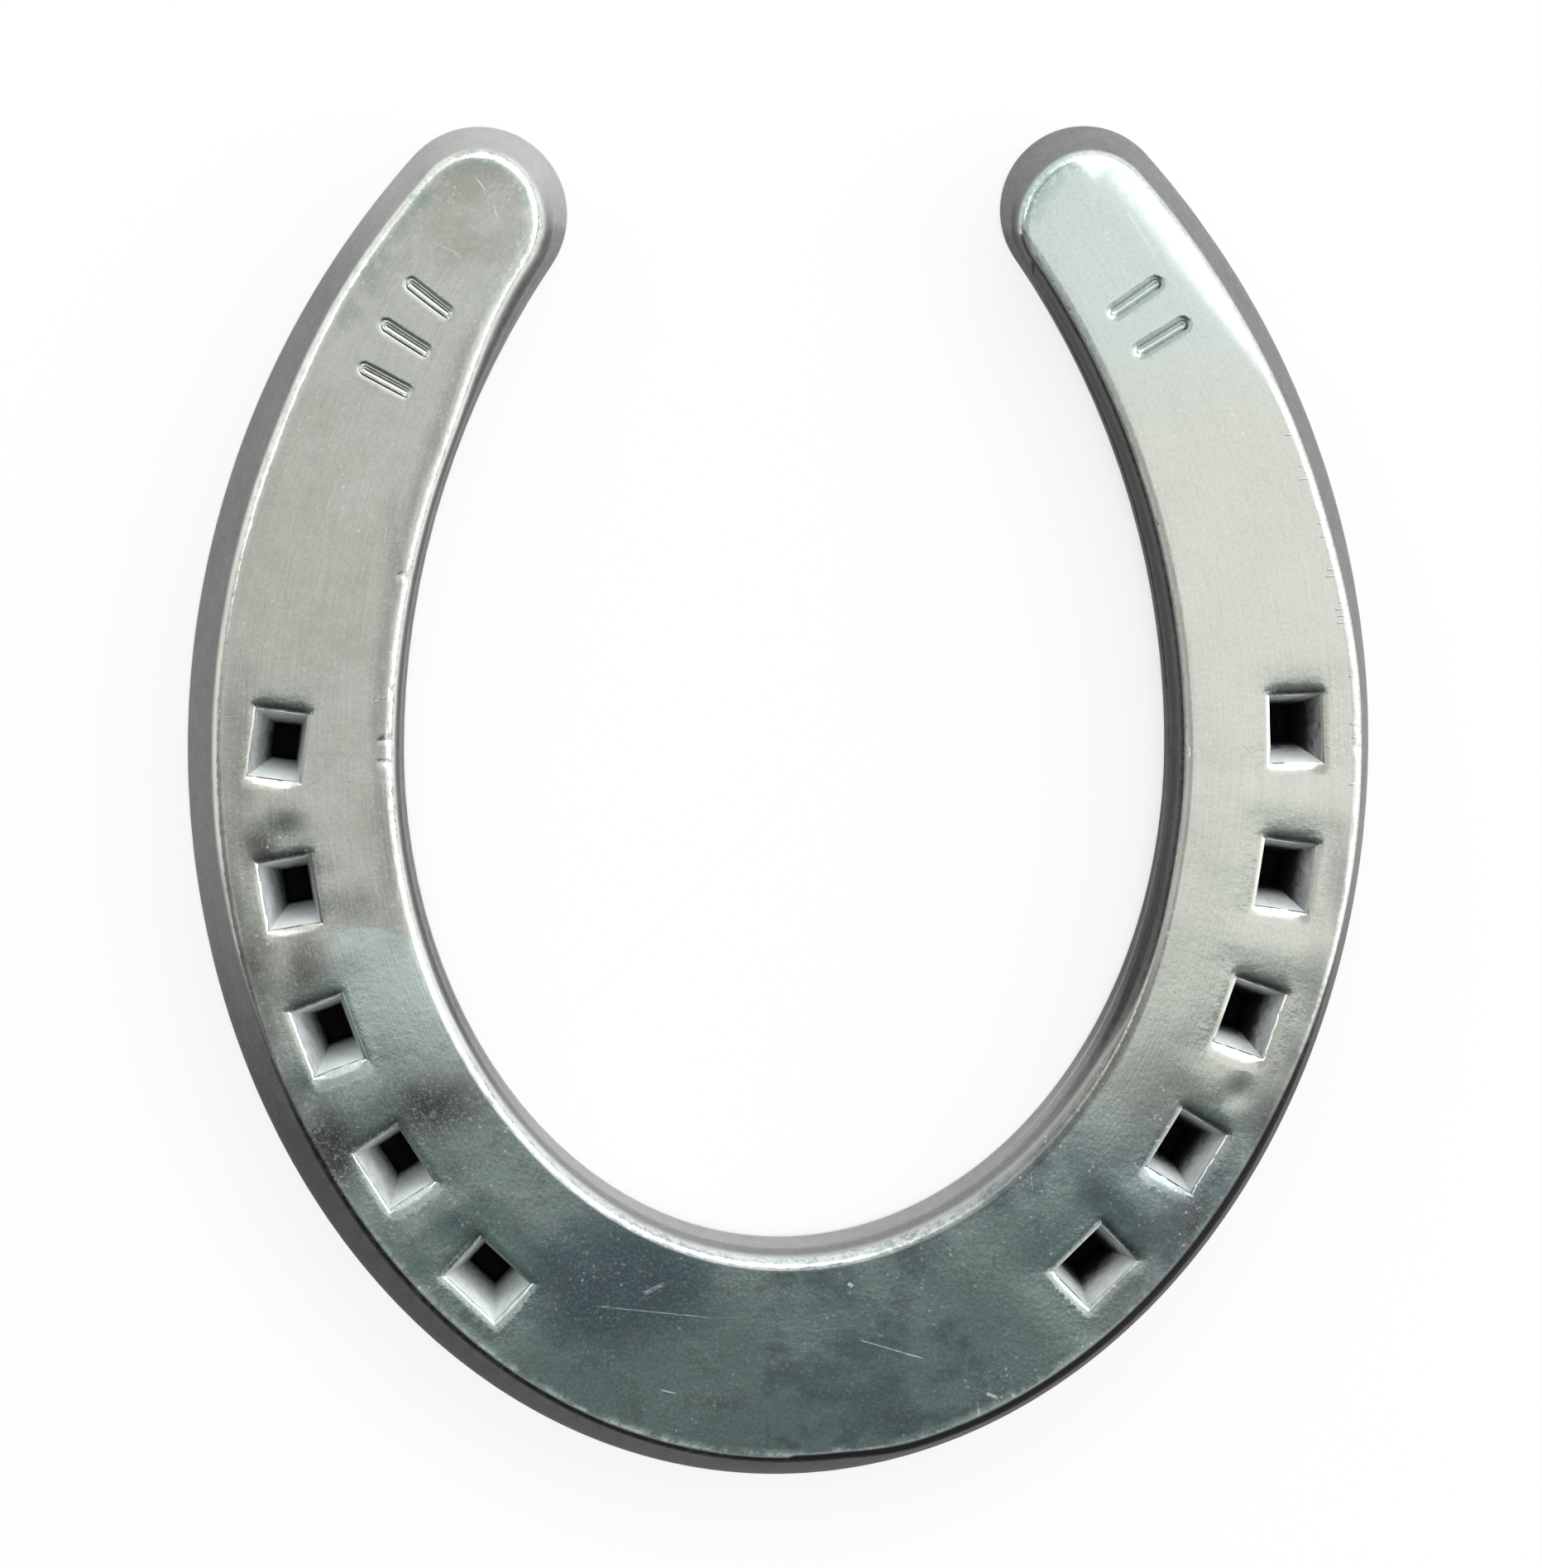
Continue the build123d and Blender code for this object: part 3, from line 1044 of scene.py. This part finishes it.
class Surface:
    """What the finish reads over the shoe: places and distances in millimetres, and noises."""

    def __init__(self, paint: Paint) -> None:
        """Read the places and the stored numbers, and add the noises and the masks they share.

        Args:
            paint: The material's node tree.
        """
        self.paint = paint
        self.place = paint.place()
        self.x, self.y = (part * METRE for part in paint.split(self.place)[:2])
        self.along = paint.attribute("along")
        self.across = paint.attribute("across")
        self.height = paint.attribute("height")
        self.rim = paint.attribute("rim")
        self.outer = paint.attribute("outer")
        self.inner = paint.attribute("inner")
        self.hole = paint.attribute("hole")
        self.tone = paint.attribute("tone")
        self.lit = paint.attribute("lit")
        self.smudge_and_shade = paint.attribute("smudge_and_shade")
        # Noises, from clouds about 30 mm wide to dust of less than half a millimetre.
        self.cloud = paint.noise(self.place, 30.0, 3.0)
        self.mottle = paint.noise(self.place, 190.0, 5.0, 0.65)
        self.fleck = paint.noise(self.place, 950.0, 4.0, 0.65)
        self.dust = paint.noise(self.place, 2600.0, 2.0, 0.6)
        self.brushed = self.streaks(0.10, 3.4, 3.0, 0.6)
        self.hair = self.streaks(0.16, 11.0, 2.0, 0.5)
        # Masks of parts of the shoe, and of the marks on it.
        # The toe, painted darker and teal partly as a painted dark reflection.
        self.toe = self.dark_toe_zone()
        self.wall = (self.rim - (0.5 - self.tone).most(0.0) * 1.9).step(-0.2, -0.6)
        self.mouth = self.hole.step(0.3, 0.02) * self.height.step(9.62, 9.45)
        self.edge = self.rim.step(1.1, 0.3) * (1 - self.wall)
        self.specks = self.speck_zone()
        self.burrs = self.burr_row()

    def streaks(self, lengthwise: float, crosswise: float, detail: float, rough: float) -> Maths:
        """Return noise drawn out along the branches, at a scale lengthwise and one crosswise."""
        where = self.paint.vector(self.along * lengthwise, self.across * crosswise, self.height)
        return self.paint.noise(where, 1.0, detail, rough)

    def dark_toe_zone(self) -> Maths:
        """Return the mask of the darker toe, painted dark partly as a painted reflection; its ragged
        edge lies lower on the right.
        """
        ragged = self.y + (self.mottle - 0.5) * 9 + (self.cloud - 0.5) * 12
        return (ragged + self.x.step(10.0, 40.0) * 7).step(-20.0, -34.0)

    def speck_zone(self) -> Maths:
        """Return small bright chafe marks, which crowd at the left branch's inner edge.

        Returns:
            A mask, 1 in the marks.
        """
        chafed = self.inner.step(2.6, 1.6) * self.x.step(-30.0, -36.0)
        chafed = chafed * self.y.step(-22.0, -14.0) * self.y.step(16.0, 8.0)
        cells = self.paint.node("ShaderNodeTexVoronoi", None, {"Vector": self.place, "Scale": 1100.0})
        crowd = self.paint.noise(self.place, 110.0, 3.0, 0.6)
        chance = self.paint.noise(self.place, 420.0, 1.0)
        specks = cells.step(0.26, 0.08) * (crowd + chafed * 0.2).step(0.42, 0.6)
        return specks * (chance + chafed * 0.1).step(0.46, 0.6)

    def burr_row(self) -> Maths:
        """Return the short bright burrs that run in from the right branch's outer edge.

        Returns:
            A mask, 1 on the burrs.
        """
        row = self.along * 1.35
        settings = {"noise_dimensions": "1D"}
        seed = self.paint.node("ShaderNodeTexWhiteNoise", settings, {"W": row.combine("FLOOR")})
        slot = (row.combine("FRACT") - 0.5 + (self.outer - 0.5) * 0.12).combine("ABSOLUTE")
        length = self.outer / (seed * seed * 1.7 + 0.12)
        zone = self.x.step(20.0, 30.0) * self.y.step(-6.0, 0.0) * self.y.step(52.0, 42.0)
        return slot.step(0.16, 0.06) * length.step(1.0, 0.7) * zone * self.outer.step(-0.6, -0.2)


@dataclass(frozen=True)
class Scratch:
    """A fine straight scratch on the ground face, in millimetres."""

    start: tuple[float, float]
    end: tuple[float, float]
    width: float
    strength: float

    def mask(self, at: Surface, dots: Maths) -> Maths:
        """Return the scratch's mask.

        Args:
            at: What the finish reads at each point.
            dots: Noise that breaks the scratch up.

        Returns:
            The mask, 0 away from the scratch.
        """
        dx, dy = self.end[0] - self.start[0], self.end[1] - self.start[1]
        length = math.hypot(dx, dy)
        dx, dy = dx / length, dy / length
        x, y = at.x - self.start[0], at.y - self.start[1]
        along = x * dx + y * dy
        aside = (y * dx - x * dy).combine("ABSOLUTE")
        ends = along.step(0.0, length * 0.08) * along.step(length, length * 0.75)
        return aside.step(self.width, self.width * 0.3) * ends * dots * self.strength


@dataclass(frozen=True)
class BareMetal:
    """The shoe's metal: a burnished ground face and dull forged walls, with painted light and shade on
    the walls, the edges and in the nail holes.

    Its masks rise and fall between places on the shoe, or distances from an edge, in millimetres.
    """

    warm: tuple = linear(213, 216, 206)
    cool: tuple = linear(210, 222, 218)
    # Pale clean metal, also used in the left patch as a painted reflection of the bright sky.
    clean_and_reflection: tuple = linear(226, 238, 235)
    teal: tuple = linear(188, 203, 200)
    ink: tuple = linear(104, 122, 138)
    dull: tuple = linear(176, 174, 168)
    # The walls' painted shade and painted light.
    wall_dark: tuple = linear(26, 23, 25)
    wall_light: tuple = linear(164, 163, 163)
    # The lit and the shaded sides of the nail holes: painted light and painted shade.
    pocket: tuple = linear(224, 231, 230)
    pocket_side: tuple = linear(88, 81, 85)
    tan: tuple = linear(186, 176, 166)
    # Soot, also used for painted shade: in the holes' throats, behind the mouths and on the toe's inner
    # rim.
    soot_and_shade: tuple = linear(50, 44, 45)
    verdigris_and_glint: tuple = linear(150, 182, 174)
    # Bright metal, also used for the painted highlight on the edges.
    bright: tuple = linear(246, 250, 246)
    face_rough: float = 0.105
    wall_rough: float = 0.52
    pocket_rough: float = 0.42
    scratches: tuple[Scratch, ...] = (
        Scratch((-21.5, -53.8), (-7.5, -55.4), 0.12, 0.32),
        Scratch((7.6, -57.9), (15.4, -60.3), 0.13, 0.45),
        Scratch((-33.8, 68.6), (-32.8, 67.2), 0.14, 0.8),
        Scratch((-32.0, 65.8), (-31.6, 64.4), 0.14, 0.8),
        Scratch((36.6, 65.0), (40.0, 59.7), 0.22, 0.5),
        Scratch((-61.5, 10.6), (-59.7, 10.8), 0.10, 0.6),
        Scratch((-45.4, 12.0), (-42.8, 13.3), 0.16, 0.6),
        Scratch((26.4, -39.8), (26.7, -42.0), 0.12, 0.35),
        Scratch((20.6, -64.8), (20.9, -67.0), 0.16, 0.5),
        Scratch((-38.6, 61.8), (-35.6, 60.4), 0.14, 0.4),
        Scratch((-36.0, 57.4), (-33.4, 58.4), 0.12, 0.35),
        Scratch((-44.8, 52.5), (-43.2, 55.6), 0.14, 0.35),
        Scratch((-43.6, 31.8), (-43.9, 29.0), 0.12, 0.35),
        Scratch((-47.7, 3.6), (-46.6, 5.4), 0.14, 0.5),
        Scratch((43.0, 66.0), (43.9, 62.6), 0.16, 0.45),
        Scratch((21.6, -64.0), (23.0, -64.6), 0.26, 0.7),
        Scratch((-16.0, -52.6), (-13.4, -51.4), 0.34, 0.4),
        Scratch((-14.2, -63.1), (-12.2, -63.6), 0.12, 0.6),
        Scratch((-13.6, -70.2), (-10.6, -70.7), 0.14, 0.6),
        Scratch((6.4, -51.7), (7.0, -52.1), 0.3, 0.8),
    )

    def make(self) -> bpy.types.Material:
        """Make the material.

        Returns:
            The material, which reads the attributes that ForgedShoe stores.
        """
        paint = Paint("bare_metal")
        at = Surface(paint)
        scratched = self.scratched(at)
        # Greenish crumbs along the toe's outer edge, painted lighter partly as edge glints.
        crumbs_and_glints = at.rim.step(1.7, 0.3) * (at.mottle * 0.6 + at.fleck * 0.4).step(0.47, 0.56)
        crumbs_and_glints = crumbs_and_glints * at.y.step(-36.0, -46.0) * (at.outer - at.inner).step(2.0, -2.0)
        face = self.grained(at, self.dirty_and_shaded(at, self.tinted(at)))
        face = self.rubbed_and_highlighted(at, self.crusted(at, face, crumbs_and_glints), scratched)
        colour = paint.mix(at.wall, face, self.walls(at))
        # Painted shade along the foot of the walls, where they curve under.
        under = paint.mix((at.mottle - 0.5) * 0.8 + (at.hair - 0.5) * 0.4, self.dull, self.wall_dark)
        colour = paint.mix(at.height.step(0.4, 0.1), colour, under)
        colour = paint.mix(at.mouth, colour, self.pockets(at))
        rough = self.face_rough + (at.brushed - 0.5) * 0.05 + (at.mottle - 0.5) * 0.05
        rough = rough + at.specks * 0.06 + at.smudge_and_shade * 0.12
        rough = rough + at.edge * 0.12 + scratched * 0.2 + crumbs_and_glints * 0.3
        rough = rough * (1 - at.wall) + (self.wall_rough + (at.fleck - 0.5) * 0.16) * at.wall
        rough = rough * (1 - at.mouth) + self.pocket_rough * at.mouth
        metallic = 1 - at.wall * 0.85 - at.mouth * 0.8
        return paint.finish(colour, rough, metallic, self.relief(at, scratched))

    def tinted(self, at: Surface) -> Maths:
        """Tint the clean face: cooler at the heels, tanned on the left, teal and inky at the toe, which
        is in part a painted dark reflection.

        Args:
            at: What the finish reads at each point.

        Returns:
            The face's colour, without dirt or wear.
        """
        paint, x, y = at.paint, at.x, at.y
        heel = (y + (at.cloud - 0.5) * 22).step(36.0, 58.0)
        face = paint.mix(heel * x.step(-10.0, 10.0).most(0.2), self.warm, self.cool)
        handled = 0.4 + y.step(44.0, 54.0) * 0.25 - y.step(44.0, 32.0) * y.step(-2.0, 8.0) * 0.3
        handled = handled * x.step(6.0, -10.0)
        face = paint.mix((at.cloud + (at.mottle - 0.5) * 0.5).step(0.44, 0.66) * handled, face, self.tan)
        # Teal and inky at the toe: partly a painted dark reflection, on top of what the room reflects
        # there.
        face = paint.mix(at.toe, face, self.teal)
        inky_reflection = (at.mottle + (at.cloud - 0.5) * 1.4).step(0.52, 0.72) * at.toe
        face = paint.mix(inky_reflection * 0.45, face, self.ink)
        # A dark blot at the toe: a painted dark reflection.
        across, up = x + 18.5, y + 51.0
        dark_reflection_blot = across * across / 90.0 + up * up / 42.0 + (at.mottle - 0.5) * 4.0
        dark_reflection_blot = (dark_reflection_blot + (at.cloud - 0.5) * 2.5).step(1.8, -0.2)
        face = paint.mix(dark_reflection_blot * (0.4 + at.mottle * 0.8), face, self.ink)
        # The pale patch: cleaner metal, and partly a painted reflection of the bright sky.
        return paint.mix(self.patch(at), face, self.clean_and_reflection)

    @staticmethod
    def patch(at: Surface) -> Maths:
        """Return the mask of the pale patch on the left branch, round at its heel end: cleaner metal,
        painted paler and bluish partly as a painted reflection of the bright sky.

        Args:
            at: What the finish reads at each point.

        Returns:
            The mask, 0 outside the patch.
        """
        across, up = at.x + 46.5, at.y + 23.3
        far = (across * across + up * up).combine("SQRT")
        inside = far.step(11.3, 10.95) * (at.x + (at.mottle - 0.5) * 5).step(-51.5, -47.0)
        return inside * (at.y + (at.mottle - 0.5) * 7).step(-29.5, -22.5)

    def dirty_and_shaded(self, at: Surface, face: Maths) -> Maths:
        """Lay soot and painted shade where the mesh says, and a thin dark line near the right branch's
        inner edge.

        Args:
            at: What the finish reads at each point.
            face: The face's colour so far.

        Returns:
            The face's colour with the soot and the painted shade.
        """
        line = (at.inner - 1.0).combine("ABSOLUTE").step(0.24, 0.08)
        line = line * at.x.step(10.0, 20.0) * at.y.step(-34.0, -22.0)
        marks = at.smudge_and_shade * (0.3 + at.mottle * 0.7 + at.hair * 0.7) + line * (0.15 + at.fleck * 0.4)
        return at.paint.mix((marks * (0.7 + at.dust * 0.6)).least(0.92), face, self.soot_and_shade)

    def grained(self, at: Surface, face: Maths) -> Maths:
        """Grain the face lighter and darker, most on the left branch and at the toe.

        Args:
            at: What the finish reads at each point.
            face: The face's colour so far.

        Returns:
            The face's colour with the grain.
        """
        left = at.x.step(10.0, -10.0)
        worn = (at.dust - 0.5) * (0.9 + left * 0.3 + at.toe * 1.8)
        worn = worn + (at.brushed - 0.5) * (0.4 + left * 0.8)
        worn = worn + (at.cloud - 0.5) * 0.7 * left
        worn = worn + (at.fleck - 0.5) * (0.3 + left * 0.6 + at.toe * 0.3)
        worn = worn + (at.mottle - 0.5) * (0.1 + left * 0.6 + at.toe * 0.9)
        face = at.paint.mix(worn.most(0.0), face, self.dull)
        face = at.paint.mix((0 - worn).most(0.0) * (0.6 - at.toe * 0.2), face, self.bright)
        # Darker mottling at the toe: grime, and in part painted shade for the dark reflection there.
        toe_grime_and_shade = (at.mottle * 0.55 + at.fleck * 0.3 + at.dust * 0.15).step(0.5, 0.72) * at.toe * 0.5
        return at.paint.mix(toe_grime_and_shade, face, self.soot_and_shade)

    def crusted(self, at: Surface, face: Maths, crumbs_and_glints: Maths) -> Maths:
        """Add greenish crumbs at the toe's edge, painted lighter in part as edge glints, and stains at
        the heels, pale scuffs and flecks.

        Args:
            at: What the finish reads at each point.
            face: The face's colour so far.
            crumbs_and_glints: The mask of the crumbs, which also carry painted glints.

        Returns:
            The face's colour with them.
        """
        paint = at.paint
        face = paint.mix(crumbs_and_glints * 0.75, face, self.verdigris_and_glint)
        tip = at.rim.step(3.2, 0.2) * at.y.step(58.0, 67.0) * (at.fleck + at.mottle).step(0.86, 1.12)
        stain = at.rim.step(5.0, 0.5) * at.y.step(50.0, 54.0) * at.x.step(-30.0, -36.0)
        stain = stain * (at.fleck + at.mottle * 2).step(1.46, 1.8)
        face = paint.mix((tip * 0.75).most(stain * 0.45), face, self.verdigris_and_glint)
        scuffs = (at.mottle * 0.45 + at.fleck * 0.4 + at.dust * 0.15).step(0.56, 0.62)
        face = paint.mix(scuffs * at.y.step(46.0, 56.0) * 0.5, face, self.clean_and_reflection)
        flecks = (at.fleck * 0.6 + at.dust * 0.4).step(0.55, 0.7)
        return paint.mix(flecks * (0.12 + at.toe * 0.5 + tip * 0.5), face, self.bright)

    def rubbed_and_highlighted(self, at: Surface, face: Maths, scratched: Maths) -> Maths:
        """Paint a highlight on the edges, least inside on the right and outside on the left, paint shade
        on the toe's inner rim at the right, and add the bright specks, burrs and scratches.

        Args:
            at: What the finish reads at each point.
            face: The face's colour so far.
            scratched: The mask of the scratches.

        Returns:
            The face's colour with them.
        """
        paint, x, y = at.paint, at.x, at.y
        # Where the painted edge highlight is weaker: inside the right branch and outside the left one.
        plain = x.step(10.0, 30.0) * y.step(-50.0, -30.0) * at.outer.step(3.0, 6.0)
        dim_left_rim = x.step(-30.0, -40.0) * at.outer.step(3.0, 2.0) * y.step(36.0, 24.0)
        # Painted shade on the inner rim at the toe's right part.
        shaded = at.rim.step(1.4, 0.6) * (1 - at.wall) * x.step(2.0, 30.0)
        shaded = shaded * y.step(-8.0, -26.0) * at.outer.step(3.0, 6.0)
        face = paint.mix(shaded * (0.4 + at.fleck * 0.5), face, self.soot_and_shade)
        # A painted highlight along the rounded edges, broken up by noise.
        glint = (at.fleck + at.dust * 0.5).step(0.6, 0.85)
        glint = glint * (1 - plain) * (1 - dim_left_rim * 0.75) * (1 - shaded * 0.8)
        face = paint.mix(at.edge * glint * 0.8, face, self.bright)
        return paint.mix((at.specks * 0.7 + at.burrs * 0.8 + scratched).least(1.0), face, self.bright)

    def walls(self, at: Surface) -> Maths:
        """Colour the walls by the painted light and shade on the mesh, with a line of painted shade
        under the rim and a painted highlight along the seam.

        Args:
            at: What the finish reads at each point.

        Returns:
            The walls' colour.
        """
        # A painted highlight along the forging seam on the inner wall.
        seam = (at.height - 2.75).combine("ABSOLUTE").step(0.4, 0.1)
        seam = seam * at.inner.step(-0.2, -0.6) * at.x.step(20.0, 34.0)
        # Painted shade just under the rim.
        shade_under_rim = (at.rim + 0.75).combine("ABSOLUTE").step(0.35, 0.1) * 0.3 * at.inner.step(3.0, 0.0)
        tone = at.tone + (at.fleck - 0.5) * 0.34 + (at.dust - 0.5) * 0.3 + (at.mottle - 0.5) * 0.22
        tone = tone - shade_under_rim + seam * at.y.step(20.0, -10.0) * 0.4
        return at.paint.mix(tone.least(1.0).most(0.0), self.wall_dark, self.wall_light)

    def pockets(self, at: Surface) -> Maths:
        """Colour the nail holes: sides painted from shaded grey to lit by the way they face, falling
        into painted shade down the throat, deeper on the left.

        Args:
            at: What the finish reads at each point.

        Returns:
            The holes' colour.
        """
        # How far down the painted light reaches before the painted shade of the throat.
        light_reach = at.lit * 4.0 + at.x.step(2.0, -2.0) * 2.4
        deep = at.height + (at.fleck - 0.5) * 2.0 + (at.mottle - 0.5) * 2.0 + light_reach
        grain = (at.mottle - 0.5) * 0.8 + (at.fleck - 0.5) * 0.55 + (at.dust - 0.5) * 0.25
        sides = at.paint.mix((at.lit + grain).least(1.0).most(0.0), self.pocket_side, self.pocket)
        return at.paint.mix(deep.step(10.0, 6.4), sides, self.soot_and_shade)

    def relief(self, at: Surface, scratched: Maths) -> Maths:
        """Bend the normal: brushed lines, mottling, pits, rough walls, burrs and scratches.

        Args:
            at: What the finish reads at each point.
            scratched: The mask of the scratches.

        Returns:
            The bent normal.
        """
        bump = at.paint.bump
        relief = bump(at.brushed * (1 - at.toe * 0.85), 0.000004)
        relief = bump(at.mottle, 0.00001, relief)
        relief = bump(at.fleck * (1 + at.hole.step(2.4, 0.2) * 2), 0.000004, relief)
        relief = bump((at.fleck - 0.5) * (at.edge * 0.15 + at.wall * 1.2), 0.00003, relief)
        return bump(at.burrs + scratched, 0.00001, relief)

    def scratched(self, at: Surface) -> Maths:
        """Return the mask of all the scratches, broken up by dust."""
        dots = at.dust.step(0.3, 0.6)
        masks = [scratch.mask(at, dots) for scratch in self.scratches]
        return sum(masks[1:], masks[0])


@dataclass
class Studio:
    """A pale floor, a soft studio and the camera, placed from the object's box."""

    centre: Vector
    distance: float = 1.0
    lean_x: float = 0.09
    lean_y: float = 0.085
    frame_width: float = 0.1688
    sensor: float = 36.0
    aim: tuple[float, float] = (-0.0011, 0.0022)
    floor_gap: float = 0.0002
    floor_half: float = 3.0

    def floor(self) -> None:
        """Lay a pale floor that shows white to the camera and keeps the shoe's shadow, painted near
        black as painted shade where it lies tucked under the shoe.
        """
        paint = Paint("pale_floor")
        rays = paint.node("ShaderNodeLightPath").socket.node.outputs
        names = ("Is Camera Ray", "Is Glossy Ray", "Is Transmission Ray")
        camera, glossy, through = (Maths(paint, rays[name]) for name in names)
        white = paint.node("ShaderNodeEmission", None, {"Color": (1, 1, 1, 1), "Strength": 1.0})
        # Painted shade: the floor goes near black where ambient occlusion finds it tucked under the
        # shoe, as under the nail holes.
        sky_seen = paint.node("ShaderNodeAmbientOcclusion", {"samples": 10}, {"Distance": 0.016}, "AO")
        open_floor = sky_seen.step(0.28, 0.5)
        tone = paint.mix(open_floor, linear(30, 28, 29), linear(238, 238, 236))
        dull = paint.node("ShaderNodeBsdfDiffuse", None, {"Color": tone})
        share = camera.most(glossy).most(through) * open_floor * 0.86
        both = paint.node("ShaderNodeMixShader", None, [share, dull, white])
        paint.node("ShaderNodeOutputMaterial", None, {"Surface": both})
        bm = bmesh.new()
        bmesh.ops.create_grid(bm, x_segments=1, y_segments=1, size=self.floor_half)
        mesh = bpy.data.meshes.new("floor")
        bm.to_mesh(mesh)
        bm.free()
        mesh.materials.append(paint.material)
        floor = bpy.data.objects.new("floor", mesh)
        floor.location = (0, 0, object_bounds()[0][2] - self.floor_gap)
        bpy.context.collection.objects.link(floor)
        floor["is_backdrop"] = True

    def sky(self) -> None:
        """Light the shoe from a soft room: a bright ceiling that ends beyond the toe."""
        world = bpy.data.worlds.new("room")
        bpy.context.scene.world = world
        paint = Paint("room_sky")
        world.use_nodes = True
        paint.tree = world.node_tree
        paint.tree.nodes.clear()
        towards = paint.node("ShaderNodeTexCoord", None, None, "Generated")
        x, y, z = paint.split(towards)
        # How far a ray leans sideways and towards the heels for each step that it rises.
        rise = z.most(0.02)
        side, back = x / rise, y / rise
        # The bright ceiling ends beyond the toe, and reaches further down at both sides.
        beside = side.step(0.18, 0.3).most(side.step(-0.1, -0.22)) * back.step(-0.45, -0.25)
        ceiling = back.step(-0.130, -0.107).most(beside)
        glare = (x * 0.94 + y * 0.34).step(0.24, 0.6)
        beyond = back.step(-0.6, -1.3)
        overhead = z.step(0.78, 0.94)
        band = back.step(-0.04, -0.056) * back.step(-0.092, -0.078)
        level = 0.66 + side.step(0.06, 0.13) * 0.36 + band * 0.06
        low = 0.2 + y.step(-0.3, 0.6) + x.step(-0.2, 0.8) * 0.6
        dark = 0.185 - back.step(-0.17, -0.4) * 0.11 + beyond * 0.25
        high = level * ceiling + dark * (1 - ceiling)
        strength = high * overhead + low * (1 - overhead) + glare * 0.55
        tint = paint.mix(ceiling.most(1 - overhead), linear(218, 243, 242), (1, 1, 1, 1))
        air = paint.node("ShaderNodeBackground", None, {"Color": tint, "Strength": strength})
        white = paint.node("ShaderNodeBackground", None, {"Color": (1, 1, 1, 1), "Strength": 1.0})
        rays = paint.node("ShaderNodeLightPath")
        both = paint.node("ShaderNodeMixShader", None, [rays, air, white])
        paint.node("ShaderNodeOutputWorld", None, {"Surface": both})
        bpy.data.materials.remove(paint.material)

    def lamp(self, name: str, place: tuple[float, float, float], size: float, power: float) -> None:
        """Hang a soft square lamp that faces the shoe.

        Args:
            name: The lamp's name.
            place: Where it hangs, in metres from the shoe's middle.
            size: The length of its side.
            power: Its power in watts.
        """
        light = bpy.data.lights.new(name, "AREA")
        light.size = size
        light.energy = power
        lamp = bpy.data.objects.new(name, light)
        lamp.location = self.centre + Vector(place)
        lamp.rotation_euler = (-Vector(place)).to_track_quat("-Z", "Y").to_euler()
        bpy.context.collection.objects.link(lamp)

    def camera(self) -> None:
        """Look down on the shoe, a little from its left and from its heels."""
        data = bpy.data.cameras.new("camera")
        data.sensor_width = self.sensor
        offset = Vector((-self.lean_x, self.lean_y, 1.0)) * self.distance
        data.lens = self.sensor * offset.length / (self.frame_width * IMAGE_HEIGHT / IMAGE_WIDTH)
        camera = bpy.data.objects.new("camera", data)
        camera.location = self.centre + Vector((*self.aim, 0)) + offset
        forward = -offset.normalized()
        right = forward.cross(Vector((0, 1, 0))).normalized()
        up = right.cross(forward)
        turned = [[right[i], up[i], -forward[i]] for i in range(3)]
        camera.rotation_euler = Matrix(turned).to_euler()
        bpy.context.collection.objects.link(camera)
        bpy.context.scene.camera = camera

    def build(self) -> None:
        """Set up the floor, the light and the camera."""
        self.floor()
        self.sky()
        self.lamp("heel_lamp", (0.15, 0.9, 0.75), 0.55, 3.0)
        self.lamp("side_lamp", (0.95, 0.1, 0.6), 0.5, 2.4)
        self.lamp("left_lamp", (-0.9, 0.35, 0.7), 0.4, 0.9)
        self.camera()
        settings = bpy.context.scene.view_settings
        settings.view_transform = "Standard"


def main() -> None:
    """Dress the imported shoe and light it."""
    logging.basicConfig(level=logging.INFO, format="%(name)s: %(message)s")
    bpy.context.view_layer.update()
    low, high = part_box(NODE)
    shoe = ForgedShoe().build()
    shoe.data.materials.clear()
    shoe.data.materials.append(BareMetal().make())
    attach(shoe, "root")
    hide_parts(NODE)
    middle = (Vector(low) + Vector(high)) / 2
    Studio(Vector((middle.x, middle.y, low[2]))).build()


if __name__ == "__main__":
    main()
